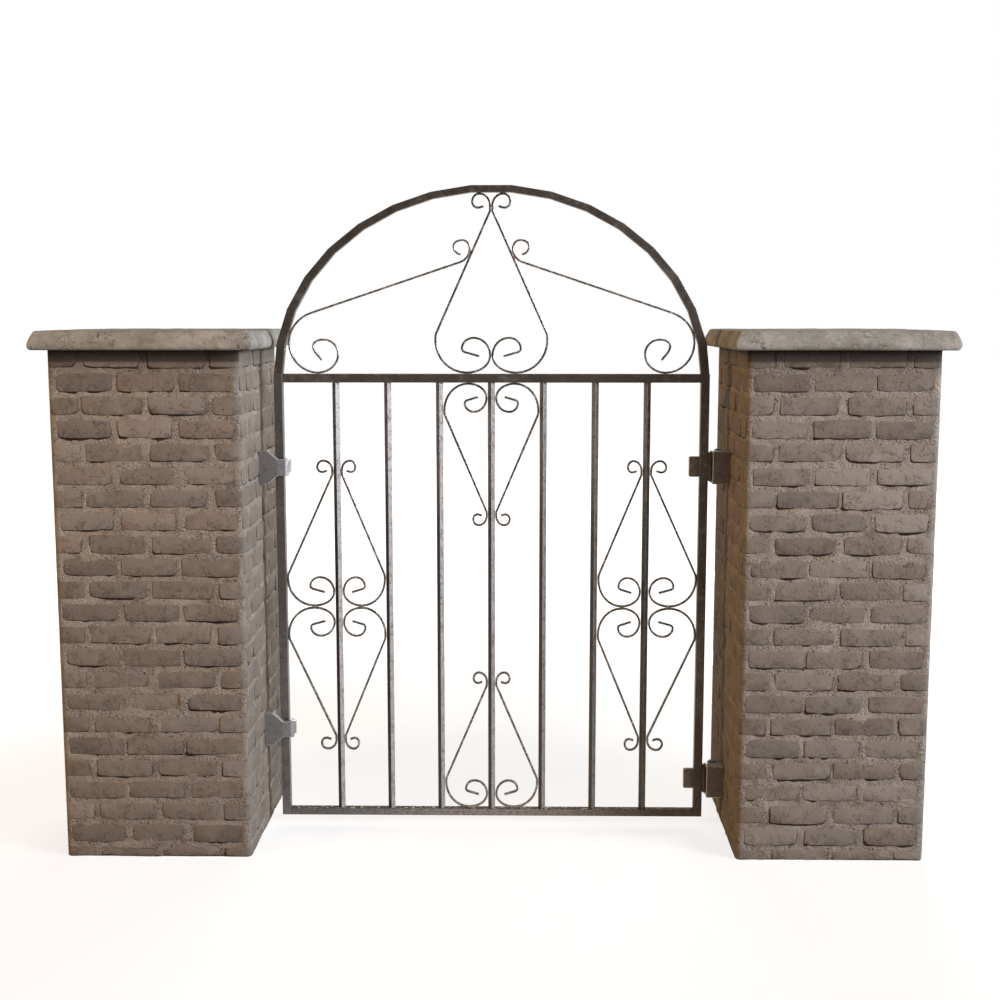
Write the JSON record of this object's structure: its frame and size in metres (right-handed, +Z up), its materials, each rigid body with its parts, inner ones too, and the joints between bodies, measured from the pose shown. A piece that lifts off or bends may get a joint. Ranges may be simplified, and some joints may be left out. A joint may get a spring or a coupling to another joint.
{
  "type": "metal garden gate",
  "caption": "Arched iron garden gate leaf with upright bars and scrollwork, hung on pin hinges between square brick piers with stone caps; swings open away from the front.",
  "frame": {"origin": "On the ground, midway between the piers and at their mid depth.", "axes": "+X runs along the gate towards the hinge side, +Y to the side the gate opens to, +Z up."},
  "size_m": [2.382, 0.605, 1.7978],
  "materials": {
    "brick": "weathered tumbled brick in rough mortar",
    "cap_stone": "weathered cast stone with chips",
    "frame_iron": "aged satin black-brown iron, worn at the edges",
    "scroll_iron": "aged satin dark brown rod",
    "bracket_iron": "dark grey smooth iron with softened edges"
  },
  "bodies": {
    "piers": {"left_pier": "brick", "right_pier": "brick", "left_cap": "cap_stone", "right_cap": "cap_stone", "lower_stop_bracket": "bracket_iron", "upper_stop_bracket": "bracket_iron", "lower_hinge_bracket": "bracket_iron", "upper_hinge_bracket": "bracket_iron", "lower_hinge_pin": "bracket_iron", "upper_hinge_pin": "bracket_iron"},
    "gate_leaf": {"latch_stile": "frame_iron", "hinge_stile": "frame_iron", "bottom_rail": "frame_iron", "top_rail": "frame_iron", "arch_bar": "frame_iron", "bar_1": "frame_iron", "bar_2": "frame_iron", "bar_3": "frame_iron", "bar_4": "frame_iron", "bar_5": "frame_iron", "bar_6": "frame_iron", "bar_7": "frame_iron", "arch_centre_scroll_left": "scroll_iron", "arch_centre_scroll_right": "scroll_iron", "arch_side_scroll_left": "scroll_iron", "arch_side_scroll_right": "scroll_iron", "centre_upper_scroll_left": "scroll_iron", "centre_upper_scroll_right": "scroll_iron", "centre_lower_scroll_left": "scroll_iron", "centre_lower_scroll_right": "scroll_iron", "left_upper_scroll_outer": "scroll_iron", "left_upper_scroll_inner": "scroll_iron", "left_lower_scroll_outer": "scroll_iron", "left_lower_scroll_inner": "scroll_iron", "right_upper_scroll_outer": "scroll_iron", "right_upper_scroll_inner": "scroll_iron", "right_lower_scroll_outer": "scroll_iron", "right_lower_scroll_inner": "scroll_iron", "lower_hinge_strap": "bracket_iron", "upper_hinge_strap": "bracket_iron"}
  },
  "joints": [
    {"name": "gate_swing", "type": "hinge", "parent": "piers", "child": "gate_leaf", "pos_m": [0.623, 0.03, 0.5815], "axis": [0, 0, -1], "range_deg": [0, 90]}
  ]
}
